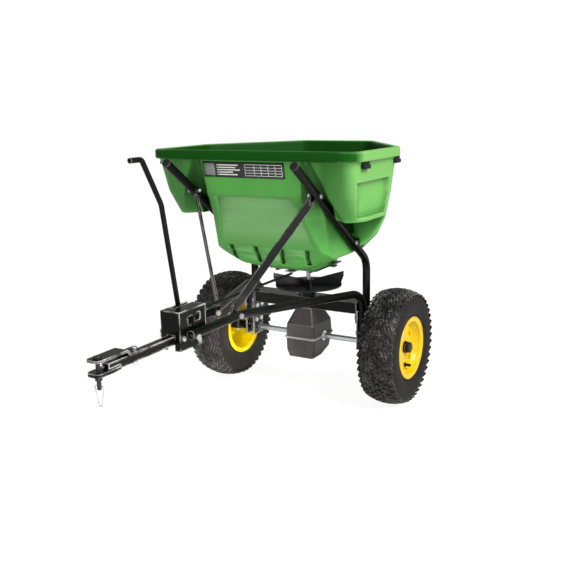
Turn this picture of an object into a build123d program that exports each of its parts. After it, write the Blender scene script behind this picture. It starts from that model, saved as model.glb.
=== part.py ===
from build123d import *
import os
from math import atan2, cos, hypot, pi, radians, sin, tan

os.makedirs("parts", exist_ok=True)

# A tow-behind broadcast spreader, in millimetres. +Z is up, -Y points ahead to the hitch and +X is
# the machine's left. The origin is on the ground, midway between the hitch's tip and the hopper's back.

# Wheels and axle
tyre_od = 330
tyre_width = 106
tyre_wall = 7
tyre_shoulder_in = 9
tyre_crown_drop = 12
tread_depth = 5
tread_groove = 9
tread_lugs = 26
tread_tilt = 18
bead_d = 154
rim_flange_d = 178
rim_width = 86
rim_sheet = 3
rim_disc_out = 24
rim_drop = 12
bead_height = 8
wheel_track = 558
hub_od = 34
hub_length = 66
hub_bush_od = 24
hub_bush_length = 18
rim_bolt_circle = 96
rim_bolts = 4
axle_d = 16
axle_end_length = 8
axle_cap_d = 30
axle_cap_wall = 4
drive_pin_d = 6
valve_d = 8
valve_length = 18
valve_circle = 104

# Hopper, from its outlet up to its rim
outlet_height = 380
outlet_half = 75
outlet_front = 94
outlet_back = 72
neck_rise = 16
floor_rise = 32
bowl_rise = 60
shoulder_rise = 110
ledge_rise = 163
panel_rise = 232
rim_rise = 322
rim_band = 25
rim_lip = 12
hopper_wall = 5
hopper_width = 600
hopper_front = 313
hopper_back = 193
hopper_side_back = -65
hopper_back_width = 226
wing_front = 90
wing_ledge = 168
channel_foot = 50
channel_turn = 200
lug_reach = 16
lug_height = 10
lug_length = 22

# Frame
tube_od = 22
tube_wall = 2
leg_spacing = 374
leg_bend_height = 405
leg_bend = 60
leg_tip_ahead = 405
leg_tip_height = 698
frame_tube_ahead = 26
frame_tube_front = 632
frame_tube_splay = 430
frame_tube_height = 331
frame_tube_back_height = 315
frame_bend = 42
tube_foot = 180
brace_width = 20
brace_tab = 5
brace_tab_length = 16
brace_top_ahead = 294
brace_foot_ahead = 440
plate = 3.5
bracket_drop = 17
bracket_top = 262
bracket_bolt_low = 195
bracket_bolt_high = 240
hopper_bolt_ahead = 90
bolt_d = 8
bolt_head_d = 14
bolt_head = 5.5
bush_od = 22
bush_flange_d = 30
bush_flange = 3
cross_web = 33
cross_flange = 64
cross_top = 285
plug_cap = 4

# Flow control
control_ahead = 656
control_length = 100
control_half = 27
control_sheet = 3
control_drop = 35
control_height = 92
lever_d = 12
lever_x = -17
lever_pivot_ahead = 588
lever_pivot_drop = 23
lever_bend_ahead = 644
lever_bend_height = 628
lever_top_ahead = 702
lever_top_height = 731
lever_tip_ahead = 740
lever_bend = 40
lever_hook_bend = 12
lever_eye_d = 22
lever_back_swing = 25
lever_pin_d = 8
lever_pin_arm = 61
rod_d = 7
rod_eye = 6

# Hitch
hitch_reach = 912
hitch_pin_ahead = 893
hitch_pin_d = 9.5
hitch_width = 36
hitch_gap = 23
tongue_thick = 8
strap_thick = 5
strap_foot_ahead = 770
strap_step_ahead = 812
drawbar = 20
drawbar_wall = 2.5
drawbar_front = 872
drawbar_back = 605
pin_below = 31
pin_head_d = 18
pin_head = 5
pin_play = 3.5
pin_collar = 7
bail_wire = 2.6
bail_half = 13
bail_drop = 44

# Spinner, gate and gearbox
spinner_height = 314
spinner_d = 196
spinner_plate = 4
fin_count = 4
fin_reach = 104
fin_tall = 36
fin_low = 14
fin_thick = 3
spinner_hub_d = 40
shaft_d = 12.7
agitator_reach = 62
agitator_d = 7
outlet_plate = 2.5
gate_sheet = 2.5
gate_width = 108
gate_length = 42
gate_tab = 34
port_ahead = 35
port_length = 30
port_width = 28
port_pitch = 33
gearbox_half = 48
gearbox_top = 252
gearbox_bottom = 105
gearbox_front = 60
gearbox_wall = 4
gearbox_flange = 6
gearbox_waist = 40
pinion_teeth = 10
ring_teeth = 30
gear_module = 3
gear_face = 15
gear_back = 5
addendum = 0.8 * gear_module
dedendum = 1.1 * gear_module
tooth_half = 0.2 * pi * gear_module
tooth_flank = 20

# Clearances
run_gap = 0.05
slip_gap = 0.3
slot_gap = 1.0

# Places that follow from those sizes
axle_z = tyre_od / 2
wheel_x = wheel_track / 2
leg_x = leg_spacing / 2
tube_r = tube_od / 2
axle_y = (hitch_reach - hopper_back - rim_lip) / 2
axle_line = Axis((0, axle_y, axle_z), (1, 0, 0))
frame_tube_x = control_half + tube_r
drawbar_mid = frame_tube_height - drawbar / 2
control_bottom = frame_tube_height - control_drop
control_top = control_bottom + control_height
lever_pivot_height = frame_tube_height - lever_pivot_drop
drawbar_top = drawbar_mid + drawbar / 2
drawbar_low = drawbar_mid - drawbar / 2
joint_bolt_z = (frame_tube_height + drawbar_mid) / 2
tongue_top = drawbar_low + tongue_thick
strap_low = tongue_top + hitch_gap
hitch_hole_r = hitch_pin_d / 2 + run_gap
axle_bore_r = axle_d / 2 + run_gap
gate_z = outlet_height - outlet_plate - slip_gap - gate_sheet
sides = (("left", 1), ("right", -1))


def ahead(distance):
    """Y of a place this far ahead of the axle."""
    return axle_y - distance


def keep(piece, name):
    """Label a finished piece and write it."""
    piece.part.label = name
    export_step(piece.part, f"parts/{name}.step")


def bar_x(x_from, x_to, y, z, radius, mode=Mode.ADD):
    """Round bar or hole along X."""
    with Locations(((x_from + x_to) / 2, y, z)):
        Cylinder(radius, abs(x_to - x_from), rotation=(0, 90, 0), mode=mode)


def bar_z(x, y, z_from, z_to, radius, mode=Mode.ADD):
    """Round bar or hole along Z."""
    with Locations((x, y, (z_from + z_to) / 2)):
        Cylinder(radius, abs(z_to - z_from), mode=mode)


def block(xs, ys, zs, mode=Mode.ADD):
    """Box between two corners."""
    with Locations((sum(xs) / 2, sum(ys) / 2, sum(zs) / 2)):
        Box(abs(xs[1] - xs[0]), abs(ys[1] - ys[0]), abs(zs[1] - zs[0]), mode=mode)


def bent_bar(points, bends, outer_r, inner_r=0):
    """Round bar or tube swept along straight runs with bends between them."""
    with BuildLine() as run:
        FilletPolyline(*points, radius=bends)
    with BuildSketch(Plane(origin=run.line @ 0, z_dir=run.line % 0)) as section:
        Circle(outer_r)
        if inner_r:
            Circle(inner_r, mode=Mode.SUBTRACT)
    sweep(section.sketch, path=run.line)


def hex_along(start, way, length):
    """Hexagon head or nut from a point along a direction."""
    with BuildSketch(Plane(start, z_dir=way)) as hexagon:
        RegularPolygon(bolt_head_d / 2, 6)
    extrude(hexagon.sketch, amount=length)


def bolt_x(x_head, x_nut, y, z):
    """Hex bolt along X, with its head's seat at one place and its nut's at the other."""
    out = 1 if x_head > x_nut else -1
    bar_x(x_head, x_nut - out * (bolt_head + plate), y, z, bolt_d / 2 - slip_gap)
    hex_along((x_head, y, z), (out, 0, 0), bolt_head)
    hex_along((x_nut, y, z), (-out, 0, 0), bolt_head)


def bolt_z(x, y, z_head, z_nut):
    """Hex bolt along Z, with its head on top."""
    bar_z(x, y, z_head, z_nut - bolt_head - plate, bolt_d / 2 - slip_gap)
    hex_along((x, y, z_head), (0, 0, 1), bolt_head)
    hex_along((x, y, z_nut), (0, 0, -1), bolt_head)


def hole_x(x_from, x_to, y, z):
    """Clearance hole for a bolt along X."""
    bar_x(x_from, x_to, y, z, bolt_d / 2, mode=Mode.SUBTRACT)


def hole_z(x, y, z_from, z_to):
    """Clearance hole for a bolt along Z."""
    bar_z(x, y, z_from, z_to, bolt_d / 2, mode=Mode.SUBTRACT)


# The hopper tube's sloping run, as a height for each distance ahead of the axle
leg_slope = (leg_tip_height - leg_bend_height) / leg_tip_ahead
recess_in = leg_x - tube_r - slip_gap
recess_out = leg_x + tube_r + bolt_head + slot_gap
wing_low = outlet_height + wing_ledge

# Hopper outlines: rise above the outlet, half width, reach ahead, where the straight side ends behind
# the axle, reach behind, half width of the back edge, corner radius
hopper_levels = (
    (0, outlet_half, outlet_front, 30, outlet_back, 45, 10),
    (neck_rise, 80, 165, 35, 90, 55, 30),
    (floor_rise, 120, 205, 30, 108, 70, 42),
    (bowl_rise, 180, 216, 5, 126, 86, 60),
    (shoulder_rise, 245, 238, -50, 150, 98, 66),
    (ledge_rise, 283, 262, -85, 168, 106, 60),
    (panel_rise, 294, 296, -78, 180, 110, 50),
    (rim_rise, hopper_width / 2, hopper_front, hopper_side_back, hopper_back, hopper_back_width / 2, 35),
)

# Channel between the hopper's middle and each wing: rise, the front wall there, the channel's two edges in
# that wall, its depth and the two edges of its floor
channel_levels = (
    (channel_foot, 212, 168, 250, 10, 174, 240),
    (wing_ledge, 264, 140, 250, 36, 172, 214),
    (channel_turn, 280, 142, 232, 36, 170, 210),
    (rim_rise, hopper_front, 150, 177, 15, 158, 170),
)


def leg_height(distance):
    """Height of the hopper tube's sloping run this far ahead of the axle."""
    return leg_bend_height + leg_slope * distance


def hopper_outline(level, grow, shift=0):
    """Six-sided outline of the hopper at a level, with round corners, grown outwards."""
    rise, half, front, side_back, back, back_half, corner = level
    with BuildSketch(Plane.XY.offset(outlet_height + rise + shift)) as outline:
        with BuildLine():
            Polyline(
                (half, ahead(front)),
                (half, axle_y + side_back),
                (back_half, axle_y + back),
                (-back_half, axle_y + back),
                (-half, axle_y + side_back),
                (-half, ahead(front)),
                close=True,
            )
        make_face()
        fillet(outline.vertices(), corner)
        if grow:
            offset(amount=grow, mode=Mode.REPLACE)
    return outline.sketch.face()


def tube_recesses(grow):
    """Cut the two grooves that clear the hopper tubes, and the space ahead of them below the wings."""
    reach = tube_r + slot_gap + grow
    lean = Vector(leg_tip_height - leg_bend_height, leg_tip_ahead).normalized() * reach
    low = outlet_height - leg_bend
    front = ahead(leg_tip_ahead + leg_bend)
    for _, side in sides:
        near, far = sorted((side * (recess_in - grow), side * (recess_out + grow)))
        with BuildSketch(Plane.YZ.offset(near)) as groove:
            with BuildLine():
                Polyline(
                    (axle_y + lean.X, low),
                    (axle_y + lean.X, leg_bend_height + lean.Y),
                    (ahead(leg_tip_ahead) + lean.X, leg_tip_height + lean.Y),
                    (front, leg_tip_height + lean.Y),
                    (front, low),
                    close=True,
                )
            make_face()
        extrude(groove.sketch, amount=far - near, mode=Mode.SUBTRACT)
        block(
            (side * leg_x, side * hopper_width),
            (front, ahead(wing_front) + grow),
            (low, wing_low + grow),
            mode=Mode.SUBTRACT,
        )


def wing_channels(grow):
    """Cut the channel each side in which the sloping tube's upper end lies."""
    for _, side in sides:
        slices = []
        for rise, front, edge_in, edge_out, depth, floor_in, floor_out in channel_levels:
            with BuildSketch(Plane.XY.offset(outlet_height + rise)) as channel:
                with BuildLine():
                    Polyline(
                        (side * edge_in, ahead(2 * front)),
                        (side * edge_in, ahead(front)),
                        (side * floor_in, ahead(front - depth)),
                        (side * floor_out, ahead(front - depth)),
                        (side * edge_out, ahead(front)),
                        (side * edge_out, ahead(2 * front)),
                        close=True,
                    )
                make_face()
                if grow:
                    offset(amount=grow, kind=Kind.INTERSECTION, mode=Mode.REPLACE)
            slices.append(channel.sketch.face())
        loft(slices, ruled=True, mode=Mode.SUBTRACT)


lug_x = outlet_half + lug_reach / 2
screw_r = bolt_d / 4

# Inside of the hopper, cut from its outer form
with BuildPart() as hopper_core:
    foot_in, *levels_in, rim_in = hopper_levels
    below = hopper_outline(foot_in, -hopper_wall, -1)
    above = hopper_outline(rim_in, -hopper_wall, rim_band + 1)
    insides = [hopper_outline(level, -hopper_wall, hopper_wall) for level in levels_in]
    loft([below, hopper_outline(foot_in, -hopper_wall), *insides, above], ruled=True)
    tube_recesses(hopper_wall)
    wing_channels(hopper_wall)

# Hopper: blow-moulded bin whose side wings pass outside the sloping tubes, with a rolled rim band
with BuildPart() as hopper:
    loft([hopper_outline(level, 0) for level in hopper_levels], ruled=True)
    tube_recesses(0)
    wing_channels(0)
    for _, side in sides:
        block(
            (side * (outlet_half - hopper_wall), side * (outlet_half + lug_reach)),
            (axle_y - lug_length / 2, axle_y + lug_length / 2),
            (outlet_height, outlet_height + lug_height),
        )
        lug_zs = (outlet_height - 1, outlet_height + lug_height + 1)
        bar_z(side * lug_x, axle_y, *lug_zs, screw_r, mode=Mode.SUBTRACT)
    extrude(hopper_outline(hopper_levels[-1], rim_lip), amount=rim_band)
    fillet(hopper.edges().group_by(Axis.Z)[-1], rim_lip / 3)
    add(hopper_core.part, mode=Mode.SUBTRACT)
    for _, side in sides:
        hole_x(0, side * leg_x, ahead(hopper_bolt_ahead), leg_height(hopper_bolt_ahead))
keep(hopper, "hopper")

# Flow lever geometry: its lean, the linkage pin on it and how far the gate moves for its swing
lever_lean = atan2(lever_bend_ahead - lever_pivot_ahead, lever_bend_height - lever_pivot_height)
link_ahead = lever_pivot_ahead + lever_pin_arm * sin(lever_lean)
link_z = lever_pivot_height + lever_pin_arm * cos(lever_lean)
back_lean = radians(lever_back_swing) - lever_lean
gate_travel = lever_pin_arm * (sin(back_lean) + sin(lever_lean))
gate_ahead = port_ahead + gate_travel
gate_front = gate_ahead + gate_length / 2
rod_end_ahead = gate_front + gate_tab / 2
pivot_r = bolt_d / 2 - slip_gap
print("gate travel per radian of lever, mm", gate_travel / radians(lever_back_swing))

# Outlet plate: steel plate under the hopper with three ports and a folded rail at each side for the gate
rail_in = gate_width / 2 + slip_gap
rail_low = gate_z - slip_gap - gate_sheet
with BuildPart() as outlet:
    plate_zs = (outlet_height - outlet_plate, outlet_height)
    block((-outlet_half, outlet_half), (ahead(outlet_front), axle_y + outlet_back), plate_zs)
    lug_end = outlet_half + lug_reach
    block((-lug_end, lug_end), (axle_y - lug_length / 2, axle_y + lug_length / 2), plate_zs)
    with Locations((0, ahead(port_ahead), outlet_height)):
        with GridLocations(port_pitch, 1, 3, 1):
            Box(port_width, port_length, 4 * outlet_plate, mode=Mode.SUBTRACT)
    bar_z(0, axle_y, outlet_height + 1, rail_low, shaft_d / 2 + slot_gap, mode=Mode.SUBTRACT)
    for _, side in sides:
        rail_ys = (ahead(outlet_front), ahead(port_ahead - gate_length / 2))
        rail_xs = (side * (rail_in - 2 * gate_sheet), side * rail_in)
        block(rail_xs, rail_ys, (rail_low, rail_low + gate_sheet))
        block((rail_xs[1], rail_xs[1] + side * gate_sheet), rail_ys, (rail_low, plate_zs[0]))
        bar_z(side * lug_x, axle_y, outlet_height + 1, rail_low, screw_r, mode=Mode.SUBTRACT)
keep(outlet, "outlet_plate")

# Screws that hold the outlet plate to the lugs beside the hopper's outlet
with BuildPart() as outlet_screws:
    for _, side in sides:
        bar_z(side * lug_x, axle_y, outlet_height - outlet_plate, outlet_height + lug_height, screw_r)
        hex_along((side * lug_x, axle_y, outlet_height - outlet_plate), (0, 0, -1), screw_r)
keep(outlet_screws, "outlet_screws")

# Shut-off gate: flat slide with a tab ahead for the linkage rod
with BuildPart() as gate:
    gate_zs = (gate_z, gate_z + gate_sheet)
    block((-gate_width / 2, gate_width / 2), (ahead(gate_front), ahead(gate_front - gate_length)), gate_zs)
    block((-rod_d * 2, rod_d * 2), (ahead(gate_front + gate_tab), ahead(gate_front)), gate_zs)
    bar_z(0, ahead(rod_end_ahead), gate_z - 1, gate_zs[1] + 1, rod_d / 2 + run_gap, mode=Mode.SUBTRACT)
keep(gate, "shutoff_gate")

# Linkage rod: round rod from the lever's pin to the gate, with an upright slotted eye at the lever
slot_low = lever_pivot_height + lever_pin_arm * cos(max(back_lean, lever_lean * 2)) - slot_gap
slot_high = lever_pivot_height + lever_pin_arm + slot_gap
with BuildPart() as rod:
    bent_bar(
        ((0, ahead(link_ahead - lever_pin_d), link_z), (0, ahead(rod_end_ahead), link_z),
         (0, ahead(rod_end_ahead), gate_z + gate_sheet)),
        rod_d * 0.6,
        rod_d / 2,
    )
    with BuildSketch(Plane.YZ.offset(-rod_eye / 2)):
        with Locations((ahead(link_ahead), (slot_low + slot_high) / 2)):
            slot_run = slot_high - slot_low
            SlotCenterToCenter(slot_run, lever_pin_d * 3, rotation=90)
            SlotCenterToCenter(slot_run, lever_pin_d + 2 * slot_gap, rotation=90, mode=Mode.SUBTRACT)
    extrude(amount=rod_eye)
keep(rod, "linkage_rod")

# Flow lever: bent round bar with a pivot eye at its foot and the linkage pin welded to its inner side
with BuildPart() as lever:
    bent_bar(
        ((lever_x, ahead(lever_pivot_ahead), lever_pivot_height),
         (lever_x, ahead(lever_bend_ahead), lever_bend_height),
         (lever_x, ahead(lever_top_ahead), lever_top_height),
         (lever_x, ahead(lever_tip_ahead), lever_top_height)),
        (lever_bend, lever_hook_bend),
        lever_d / 2,
    )
    eye = (lever_x - lever_d / 2 + slip_gap, lever_x + lever_d / 2 - slip_gap)
    bar_x(*eye, ahead(lever_pivot_ahead), lever_pivot_height, lever_eye_d / 2)
    bar_x(lever_x, rod_eye, ahead(link_ahead), link_z, lever_pin_d / 2)
    bore = (lever_x - lever_d, lever_x + lever_d)
    bar_x(*bore, ahead(lever_pivot_ahead), lever_pivot_height, pivot_r + run_gap, mode=Mode.SUBTRACT)
keep(lever, "flow_lever")

# Control bracket: folded steel box with a slotted top that guides the lever, open below and behind
control_back = control_ahead - control_length
control_in = control_half - control_sheet
slot_reach = (control_top - lever_pivot_height) * tan(max(back_lean, lever_lean * 2)) + lever_d
bar_bolt_places = (control_ahead - drawbar / 2, drawbar_back + drawbar * 0.75)
with BuildPart() as control:
    control_ys = (ahead(control_ahead), ahead(control_back))
    block((-control_half, control_half), control_ys, (control_bottom, control_top))
    block(
        (-control_in, control_in),
        (ahead(control_ahead - control_sheet), ahead(control_back) + 1),
        (control_bottom - 1, control_top - control_sheet),
        mode=Mode.SUBTRACT,
    )
    block(
        (lever_x - lever_d / 2 - slot_gap, lever_x + lever_d / 2 + slot_gap),
        (ahead(lever_pivot_ahead + slot_reach), ahead(lever_pivot_ahead - slot_reach)),
        (control_top - 2 * control_sheet, control_top + 1),
        mode=Mode.SUBTRACT,
    )
    block(
        (-drawbar / 2 - slot_gap, drawbar / 2 + slot_gap),
        (ahead(control_ahead) - 1, ahead(control_ahead) + 2 * control_sheet),
        (control_bottom - 1, drawbar_top + slot_gap),
        mode=Mode.SUBTRACT,
    )
    with BuildSketch(Plane.YZ.offset(-control_half - 1)):
        with BuildLine():
            Polyline(
                (ahead(control_back), control_bottom),
                (ahead(control_back), drawbar_low),
                (ahead(control_back + drawbar_low - control_bottom), control_bottom),
                close=True,
            )
        make_face()
        with Locations((ahead(control_ahead - 2 * drawbar), (drawbar_top + control_top) / 2)):
            RectangleRounded(drawbar, drawbar * 1.2, drawbar / 6)
        window_z = (frame_tube_height + tube_r + control_top) / 2
        with Locations((ahead(control_back + 1.6 * drawbar), window_z)):
            RectangleRounded(drawbar, drawbar * 0.9, drawbar / 6)
    extrude(amount=2 * control_half + 2, mode=Mode.SUBTRACT)
    for bolt_ahead in bar_bolt_places:
        hole_x(-control_half - 1, control_half + 1, ahead(bolt_ahead), joint_bolt_z)
    hole_x(-control_half - 1, control_half + 1, ahead(lever_pivot_ahead), lever_pivot_height)
keep(control, "control_bracket")

# Lever pivot: bolt across the control bracket, with a spacer collar that keeps the lever to its side
with BuildPart() as pivot:
    bolt_x(control_half, -control_half, ahead(lever_pivot_ahead), lever_pivot_height)
    bar_x(
        lever_x + lever_d / 2 + slip_gap,
        control_in - slip_gap,
        ahead(lever_pivot_ahead),
        lever_pivot_height,
        bolt_d * 0.8,
    )
keep(pivot, "lever_pivot_bolt")

# Drawbar: square tube from the control bracket to the hitch, with a flat tongue welded in its front end
with BuildPart() as bar:
    half = drawbar / 2
    block((-half, half), (ahead(drawbar_front), ahead(drawbar_back)), (drawbar_low, drawbar_top))
    inner = half - drawbar_wall
    block(
        (-inner, inner),
        (ahead(drawbar_front) - 1, ahead(drawbar_back) + 1),
        (drawbar_mid - inner, drawbar_mid + inner),
        mode=Mode.SUBTRACT,
    )
    with BuildSketch(Plane.XY.offset(drawbar_low)):
        with Locations((0, ahead((hitch_reach + drawbar_front - hitch_width) / 2))):
            Rectangle(hitch_width, hitch_reach - drawbar_front + hitch_width)
        fillet(vertices(), hitch_width / 3)
    extrude(amount=tongue_thick)
    bar_z(0, ahead(hitch_pin_ahead), drawbar_low - 1, tongue_top + 1, hitch_hole_r, mode=Mode.SUBTRACT)
    for bolt_ahead in bar_bolt_places:
        hole_x(-drawbar, drawbar, ahead(bolt_ahead), joint_bolt_z)
    strap_bolt_ahead = strap_foot_ahead + hitch_width / 3
    hole_z(0, ahead(strap_bolt_ahead), drawbar_low - 1, drawbar_top + 1)
keep(bar, "drawbar")

# Hitch strap: steel strap stepped up over the tongue, bolted to the drawbar's top
with BuildPart() as strap:
    with BuildSketch(Plane.YZ.offset(-hitch_width / 2)):
        with BuildLine():
            rise = strap_low - drawbar_top
            Polyline(
                (ahead(hitch_reach), strap_low),
                (ahead(strap_step_ahead + rise), strap_low),
                (ahead(strap_step_ahead), drawbar_top),
                (ahead(strap_foot_ahead), drawbar_top),
                (ahead(strap_foot_ahead), drawbar_top + strap_thick),
                (ahead(strap_step_ahead - strap_thick / 2), drawbar_top + strap_thick),
                (ahead(strap_step_ahead + rise - strap_thick / 2), strap_low + strap_thick),
                (ahead(hitch_reach), strap_low + strap_thick),
                close=True,
            )
        make_face()
    extrude(amount=hitch_width)
    fillet(strap.edges().filter_by(Axis.Z).group_by(Axis.Y)[0], hitch_width / 3)
    strap_zs = (drawbar_top - 1, strap_low + 2 * strap_thick)
    bar_z(0, ahead(hitch_pin_ahead), *strap_zs, hitch_hole_r, mode=Mode.SUBTRACT)
    hole_z(0, ahead(strap_bolt_ahead), *strap_zs)
keep(strap, "hitch_strap")

# Hitch pin: headed pin through strap and tongue, with a stop collar below and a cross hole for the bail
pin_foot = drawbar_low - pin_below
bail_z = pin_foot + 3 * bail_wire
pin_top = strap_low + strap_thick
with BuildPart() as pin:
    bar_z(0, ahead(hitch_pin_ahead), pin_foot, pin_top, hitch_pin_d / 2)
    bar_z(0, ahead(hitch_pin_ahead), pin_top, pin_top + pin_head, pin_head_d / 2)
    fillet(pin.edges().group_by(Axis.Z)[-1], pin_head / 3)
    chamfer(pin.edges().group_by(Axis.Z)[0], hitch_pin_d / 8)
    collar_top = drawbar_low - pin_play
    bar_z(0, ahead(hitch_pin_ahead), collar_top - pin_collar, collar_top, hitch_pin_d * 0.8)
    bail_hole_r = bail_wire / 2 + run_gap
    bar_x(-hitch_pin_d, hitch_pin_d, ahead(hitch_pin_ahead), bail_z, bail_hole_r, mode=Mode.SUBTRACT)
keep(pin, "hitch_pin")

# Bail: bent spring wire whose two ends sit in the pin's cross hole
with BuildPart() as bail:
    wire_y = ahead(hitch_pin_ahead)
    bent_bar(
        ((1, wire_y, bail_z), (bail_half, wire_y, bail_z), (bail_wire, wire_y, bail_z - bail_drop),
         (-bail_wire, wire_y, bail_z - bail_drop), (-bail_half, wire_y, bail_z), (-1, wire_y, bail_z)),
        bail_wire * 0.9,
        bail_wire / 2,
    )
keep(bail, "hitch_bail")

# Hopper tubes: one bent tube each side, from the axle bracket up and then ahead under the hopper
inner_r = tube_r - tube_wall
for name, side in sides:
    with BuildPart() as leg:
        x = side * leg_x
        bent_bar(
            ((x, axle_y, tube_foot),
             (x, axle_y, leg_bend_height),
             (x, ahead(leg_tip_ahead), leg_tip_height)),
            leg_bend,
            tube_r,
            inner_r,
        )
        for z in (bracket_bolt_low, bracket_bolt_high):
            hole_x(x - tube_od, x + tube_od, axle_y, z)
        for distance in (brace_top_ahead, hopper_bolt_ahead):
            hole_x(x - tube_od, x + tube_od, ahead(distance), leg_height(distance))
    keep(leg, f"{name}_hopper_tube")

    # Plug in the tube's free upper end
    with BuildPart() as plug:
        tip = Vector(x, ahead(leg_tip_ahead), leg_tip_height)
        way = Vector(0, -leg_tip_ahead, leg_tip_height - leg_bend_height).normalized()
        with BuildSketch(Plane(origin=tip, z_dir=way)):
            Circle(tube_r)
        extrude(amount=plug_cap)
        fillet(plug.edges().sort_by(Axis.Z)[-1], plug_cap / 2)
        with BuildSketch(Plane(origin=tip, z_dir=way)):
            Circle(inner_r)
        extrude(amount=-tube_od)
    keep(plug, f"{name}_tube_plug")

    # Frame tube: straight beside the control bracket, splayed to the leg, then bent down to the axle bracket
    with BuildPart() as frame_tube:
        front_x = side * frame_tube_x
        foot_y = ahead(frame_tube_ahead)
        bent_bar(
            ((front_x, ahead(frame_tube_front), frame_tube_height),
             (front_x, ahead(frame_tube_splay), frame_tube_height),
             (x, foot_y, frame_tube_back_height),
             (x, foot_y, tube_foot)),
            frame_bend,
            tube_r,
            inner_r,
        )
        hole_x(front_x - tube_od, front_x + tube_od, ahead(bar_bolt_places[1]), joint_bolt_z)
        hole_x(front_x - tube_od, front_x + tube_od, ahead(brace_foot_ahead), frame_tube_height)
        for z in (bracket_bolt_low, bracket_bolt_high):
            hole_x(x - tube_od, x + tube_od, foot_y, z)
    keep(frame_tube, f"{name}_frame_tube")

    # Brace: flat bar bent flat to both tubes at its ends, from the frame tube up to the hopper tube
    with BuildPart() as brace:
        tab_in = tube_r + brace_tab / 2
        head = Vector(side * (leg_x - tab_in), ahead(brace_top_ahead), leg_height(brace_top_ahead))
        foot = Vector(side * (frame_tube_x - tab_in), ahead(brace_foot_ahead), frame_tube_height)
        flat = Vector(0, head.Y - foot.Y, head.Z - foot.Z).normalized() * brace_tab_length
        bar_run = head - flat - (foot + flat)
        bar_face = Vector(bar_run.Y, -bar_run.X, 0)
        with BuildSketch(Plane(origin=foot + flat, x_dir=bar_face, z_dir=bar_run)):
            Rectangle(brace_tab, brace_width)
        extrude(amount=bar_run.length)
        for end, inward in ((head, flat * -1), (foot, flat)):
            with BuildSketch(Plane(origin=end - Vector(brace_tab / 2, 0, 0), x_dir=inward, z_dir=(1, 0, 0))):
                with Locations((brace_tab_length / 2, 0)):
                    SlotCenterToCenter(brace_tab_length, brace_width)
            extrude(amount=brace_tab)
            hole_x(end.X - brace_tab, end.X + brace_tab, end.Y, end.Z)
    keep(brace, f"{name}_brace")

    # Axle bracket: bent steel channel round both tube feet, bored for the axle's bush
    with BuildPart() as bracket:
        in_x = leg_x - tube_r - plate
        out_x = leg_x + tube_r + plate
        bracket_ys = (ahead(frame_tube_ahead + tube_r), axle_y + tube_r + plate)
        bracket_zs = (axle_z - bracket_drop, bracket_top)
        block((side * in_x, side * out_x), bracket_ys, bracket_zs)
        block(
            (side * (in_x + plate), side * (out_x - plate)),
            (bracket_ys[0] - 1, axle_y + tube_r),
            (bracket_zs[0] - 1, bracket_top + 1),
            mode=Mode.SUBTRACT,
        )
        bar_x(side * (in_x - 1), side * (out_x + 1), axle_y, axle_z, bush_od / 2, mode=Mode.SUBTRACT)
        for y in (axle_y, foot_y):
            for z in (bracket_bolt_low, bracket_bolt_high):
                hole_x(side * (in_x - 1), side * (out_x + 1), y, z)
    keep(bracket, f"{name}_axle_bracket")

    # Axle bush: flanged nylon sleeve through both cheeks of the bracket
    with BuildPart() as bush:
        bush_end = out_x + bush_flange
        bar_x(side * in_x, side * bush_end, axle_y, axle_z, bush_od / 2)
        bar_x(side * out_x, side * bush_end, axle_y, axle_z, bush_flange_d / 2)
        bar_x(side * in_x, side * bush_end, axle_y, axle_z, axle_bore_r, mode=Mode.SUBTRACT)
    keep(bush, f"{name}_axle_bush")

# Cross channel: bent steel between the two brackets that carries the gearbox
ear_in = in_x - plate
neck_bolt_x = gearbox_half * 0.7
with BuildPart() as cross:
    web_ys = (axle_y - cross_flange / 2, axle_y - cross_flange / 2 + plate)
    flange_ys = (web_ys[0], axle_y + cross_flange / 2)
    block((-in_x, in_x), web_ys, (cross_top - cross_web, cross_top))
    block((-in_x, in_x), flange_ys, (cross_top - plate, cross_top))
    for _, side in sides:
        tab_zs = (bracket_bolt_high - bolt_head_d, cross_top)
        block((side * ear_in, side * in_x), (web_ys[0] - tube_r / 2, flange_ys[1]), tab_zs)
        for y in (axle_y, foot_y):
            hole_x(side * (ear_in - 1), side * (in_x + 1), y, bracket_bolt_high)
        hole_z(side * neck_bolt_x, axle_y, cross_top + 1, cross_top - 2 * plate)
    bar_z(0, axle_y, cross_top + 1, cross_top - 2 * plate, bush_od / 2, mode=Mode.SUBTRACT)
keep(cross, "cross_channel")

# Frame bolts, in groups of like fasteners
with BuildPart() as bracket_bolts:
    for _, side in sides:
        for y in (axle_y, foot_y):
            bolt_x(side * in_x, side * out_x, y, bracket_bolt_low)
            bolt_x(side * ear_in, side * out_x, y, bracket_bolt_high)
keep(bracket_bolts, "bracket_bolts")

with BuildPart() as brace_bolts:
    for _, side in sides:
        head_x = leg_x - tube_r - brace_tab
        foot_x = frame_tube_x - tube_r - brace_tab
        bolt_x(side * (leg_x + tube_r), side * head_x, ahead(brace_top_ahead), leg_height(brace_top_ahead))
        bolt_x(side * (frame_tube_x + tube_r), side * foot_x, ahead(brace_foot_ahead), frame_tube_height)
keep(brace_bolts, "brace_bolts")

with BuildPart() as hopper_bolts:
    for _, side in sides:
        nut_x = side * (recess_in - hopper_wall)
        bolt_x(side * (leg_x + tube_r), nut_x, ahead(hopper_bolt_ahead), leg_height(hopper_bolt_ahead))
keep(hopper_bolts, "hopper_bolts")

with BuildPart() as bar_bolts:
    bolt_x(control_half, -control_half, ahead(bar_bolt_places[0]), joint_bolt_z)
    bolt_x(control_half + tube_od, -control_half - tube_od, ahead(bar_bolt_places[1]), joint_bolt_z)
    bolt_z(0, ahead(strap_bolt_ahead), drawbar_top + strap_thick, drawbar_low)
keep(bar_bolts, "drawbar_bolts")

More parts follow.
